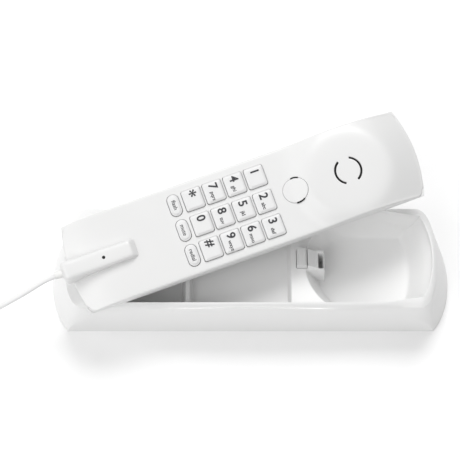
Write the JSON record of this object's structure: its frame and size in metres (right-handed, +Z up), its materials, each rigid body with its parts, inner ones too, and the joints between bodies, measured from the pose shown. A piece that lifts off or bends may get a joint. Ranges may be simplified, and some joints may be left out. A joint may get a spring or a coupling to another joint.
{
  "type": "corded landline phone",
  "caption": "Slim white corded telephone: a long cradle base with the handset lying across it, a keypad in the handset's face, an earpiece drum and one plain line cord.",
  "frame": {"origin": "centre of the base's underside, in the plane it stands on", "axes": "+X along the base's length to the end with the earpiece dish, +Y to the back, +Z up"},
  "size_m": [0.3303, 0.1763, 0.0783],
  "materials": {
    "housing_white": "satin moulded ABS",
    "key_grey": "satin moulded ABS, printed legends",
    "button_white": "satin moulded ABS",
    "steel": "zinc plated",
    "rubber_dark": "matte",
    "rubber_white": "matte",
    "silicone_mat": "translucent silicone",
    "board_green": "solder mask",
    "chip_black": "moulded epoxy",
    "capacitor_sleeve": "printed sleeve, no text",
    "capsule_black": "moulded",
    "mic_can": "drawn can",
    "ringer_brass": "plain",
    "switch_black": "moulded",
    "lead_insulation": "PVC",
    "cord_white": "PVC jacket",
    "tie_wire": "coated wire",
    "plug_clear": "clear polycarbonate",
    "contact_gold": "gold plated"
  },
  "bodies": {
    "base": {"base_shell": "housing_white", "base_plate": "housing_white", "base_screws": "steel", "rubber_feet": "rubber_dark", "cord_lead": "cord_white", "cord_coil": "cord_white", "cord_tie": "tie_wire", "cord_tail": "cord_white", "line_plug": "plug_clear", "plug_contacts": "contact_gold"},
    "handset": {"front_shell": "housing_white", "back_shell": "housing_white", "shell_screws": "steel", "circuit_board": "board_green", "board_screws": "steel", "board_chips": "chip_black", "board_capacitors": "capacitor_sleeve", "keypad_mat": "silicone_mat", "receiver_capsule": "capsule_black", "receiver_gasket": "rubber_dark", "mic_capsule": "mic_can", "mic_boot": "rubber_dark", "ringer": "ringer_brass", "hook_switch": "switch_black", "switch_lever": "steel", "hook_spring": "steel", "inner_leads": "lead_insulation", "cord_grommet": "rubber_white"},
    "hook_tab": {"hook_tab": "button_white"},
    "hook_button": {"hook_button": "button_white"},
    "plug_latch": {"plug_latch": "plug_clear"},
    "key_1": {"key_1": "key_grey"},
    "key_2": {"key_2": "key_grey"},
    "key_3": {"key_3": "key_grey"},
    "key_4": {"key_4": "key_grey"},
    "key_5": {"key_5": "key_grey"},
    "key_6": {"key_6": "key_grey"},
    "key_7": {"key_7": "key_grey"},
    "key_8": {"key_8": "key_grey"},
    "key_9": {"key_9": "key_grey"},
    "key_star": {"key_star": "key_grey"},
    "key_0": {"key_0": "key_grey"},
    "key_hash": {"key_hash": "key_grey"},
    "key_flash": {"key_flash": "key_grey"},
    "key_mute": {"key_mute": "key_grey"},
    "key_redial": {"key_redial": "key_grey"}
  },
  "joints": [
    {"name": "handset_lift", "type": "slide", "parent": "base", "child": "handset", "axis": [0, 0, 1], "range_m": [0, 0.08]},
    {"name": "hook_tab_pull", "type": "slide", "parent": "base", "child": "hook_tab", "axis": [0, 0, 1], "range_m": [0, 0.0065]},
    {"name": "key_1_press", "type": "slide", "parent": "handset", "child": "key_1", "axis": [-0.0138, 0.2518, -0.9677], "range_m": [0, 0.001], "stiffness_N_per_m": 600, "springref_m": -0.0008},
    {"name": "key_2_press", "type": "slide", "parent": "handset", "child": "key_2", "axis": [-0.0138, 0.2518, -0.9677], "range_m": [0, 0.001], "stiffness_N_per_m": 600, "springref_m": -0.0008},
    {"name": "key_3_press", "type": "slide", "parent": "handset", "child": "key_3", "axis": [-0.0138, 0.2518, -0.9677], "range_m": [0, 0.001], "stiffness_N_per_m": 600, "springref_m": -0.0008},
    {"name": "key_4_press", "type": "slide", "parent": "handset", "child": "key_4", "axis": [-0.0138, 0.2518, -0.9677], "range_m": [0, 0.001], "stiffness_N_per_m": 600, "springref_m": -0.0008},
    {"name": "key_5_press", "type": "slide", "parent": "handset", "child": "key_5", "axis": [-0.0138, 0.2518, -0.9677], "range_m": [0, 0.001], "stiffness_N_per_m": 600, "springref_m": -0.0008},
    {"name": "key_6_press", "type": "slide", "parent": "handset", "child": "key_6", "axis": [-0.0138, 0.2518, -0.9677], "range_m": [0, 0.001], "stiffness_N_per_m": 600, "springref_m": -0.0008},
    {"name": "key_7_press", "type": "slide", "parent": "handset", "child": "key_7", "axis": [-0.0138, 0.2518, -0.9677], "range_m": [0, 0.001], "stiffness_N_per_m": 600, "springref_m": -0.0008},
    {"name": "key_8_press", "type": "slide", "parent": "handset", "child": "key_8", "axis": [-0.0138, 0.2518, -0.9677], "range_m": [0, 0.001], "stiffness_N_per_m": 600, "springref_m": -0.0008},
    {"name": "key_9_press", "type": "slide", "parent": "handset", "child": "key_9", "axis": [-0.0138, 0.2518, -0.9677], "range_m": [0, 0.001], "stiffness_N_per_m": 600, "springref_m": -0.0008},
    {"name": "key_star_press", "type": "slide", "parent": "handset", "child": "key_star", "axis": [-0.0138, 0.2518, -0.9677], "range_m": [0, 0.001], "stiffness_N_per_m": 600, "springref_m": -0.0008},
    {"name": "key_0_press", "type": "slide", "parent": "handset", "child": "key_0", "axis": [-0.0138, 0.2518, -0.9677], "range_m": [0, 0.001], "stiffness_N_per_m": 600, "springref_m": -0.0008},
    {"name": "key_hash_press", "type": "slide", "parent": "handset", "child": "key_hash", "axis": [-0.0138, 0.2518, -0.9677], "range_m": [0, 0.001], "stiffness_N_per_m": 600, "springref_m": -0.0008},
    {"name": "key_flash_press", "type": "slide", "parent": "handset", "child": "key_flash", "axis": [-0.0138, 0.2518, -0.9677], "range_m": [0, 0.001], "stiffness_N_per_m": 600, "springref_m": -0.0008},
    {"name": "key_mute_press", "type": "slide", "parent": "handset", "child": "key_mute", "axis": [-0.0138, 0.2518, -0.9677], "range_m": [0, 0.001], "stiffness_N_per_m": 600, "springref_m": -0.0008},
    {"name": "key_redial_press", "type": "slide", "parent": "handset", "child": "key_redial", "axis": [-0.0138, 0.2518, -0.9677], "range_m": [0, 0.001], "stiffness_N_per_m": 600, "springref_m": -0.0008},
    {"name": "hook_button_press", "type": "slide", "parent": "handset", "child": "hook_button", "axis": [-0.0138, 0.2518, -0.9677], "range_m": [0, 0.0022], "stiffness_N_per_m": 300, "springref_m": -0.002, "deforming": ["hook_spring"]},
    {"name": "plug_latch_flex", "type": "hinge", "parent": "base", "child": "plug_latch", "pos_m": [-0.208, -0.011, 0.00725], "axis": [1, 0, 0], "range_deg": [0, 12], "stiffness_Nm_per_rad": 0.02, "springref_deg": -2.86}
  ]
}
